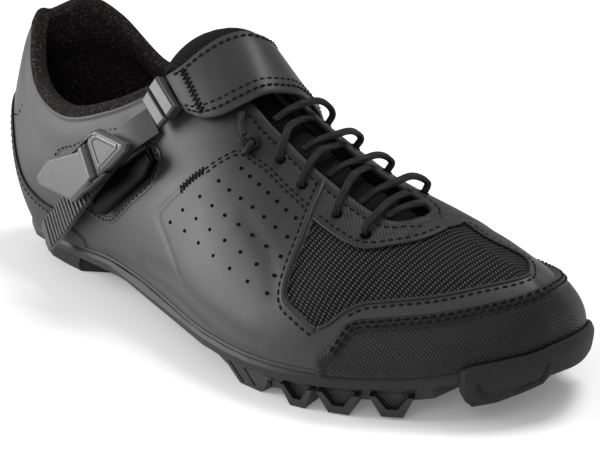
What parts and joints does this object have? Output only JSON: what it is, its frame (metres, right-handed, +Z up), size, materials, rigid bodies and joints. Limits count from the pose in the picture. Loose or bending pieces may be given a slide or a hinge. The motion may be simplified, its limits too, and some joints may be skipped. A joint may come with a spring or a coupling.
{
  "type": "cycling shoe",
  "caption": "Right cycling shoe with a laced throat, an instep strap on a toothed ladder with a two-lever buckle, and a stiff lugged sole with a cleat bay.",
  "frame": {"origin": "centre of the heel block's resting face, on the floor", "axes": "+X along the shoe towards the toe, +Y towards the inner side of the foot, +Z up"},
  "size_m": [0.2959, 0.1085, 0.11],
  "materials": {
    "leather": "smooth satin microfibre leather",
    "coated_leather": "matt, embossed with a fine grid",
    "counter": "smooth moulded, satin",
    "lining": "napped knit",
    "webbing": "woven",
    "lace": "braided cord",
    "plate": "moulded nylon composite, satin",
    "nylon": "semi-gloss moulded nylon",
    "lever": "satin with bright bevels",
    "gloss": "gloss",
    "steel": "brushed",
    "rubber": "matt with a fine sandy grain"
  },
  "bodies": {
    "root": {"sole_plate": "plate", "heel_tread": "rubber", "forefoot_tread": "rubber", "toe_bumper": "rubber", "insole": "lining", "upper": "leather", "toe_cap": "coated_leather", "heel_counter": "counter", "tongue": "lining", "instep_strap": "leather", "buckle_base": "gloss", "rear_lever": "lever", "front_lever": "lever", "lever_pin": "steel", "ladder_strap": "nylon", "strap_clamp": "lever", "clamp_slider": "lever", "lace_outer_1": "lace", "lace_outer_2": "lace", "lace_outer_3": "lace", "lace_outer_4": "lace", "lace_inner_1": "lace", "lace_inner_2": "lace", "lace_inner_3": "lace", "lace_inner_4": "lace", "lace_toe_bar": "lace", "lace_end": "lace", "lace_knot": "lace", "heel_loop": "webbing"}
  },
  "joints": []
}
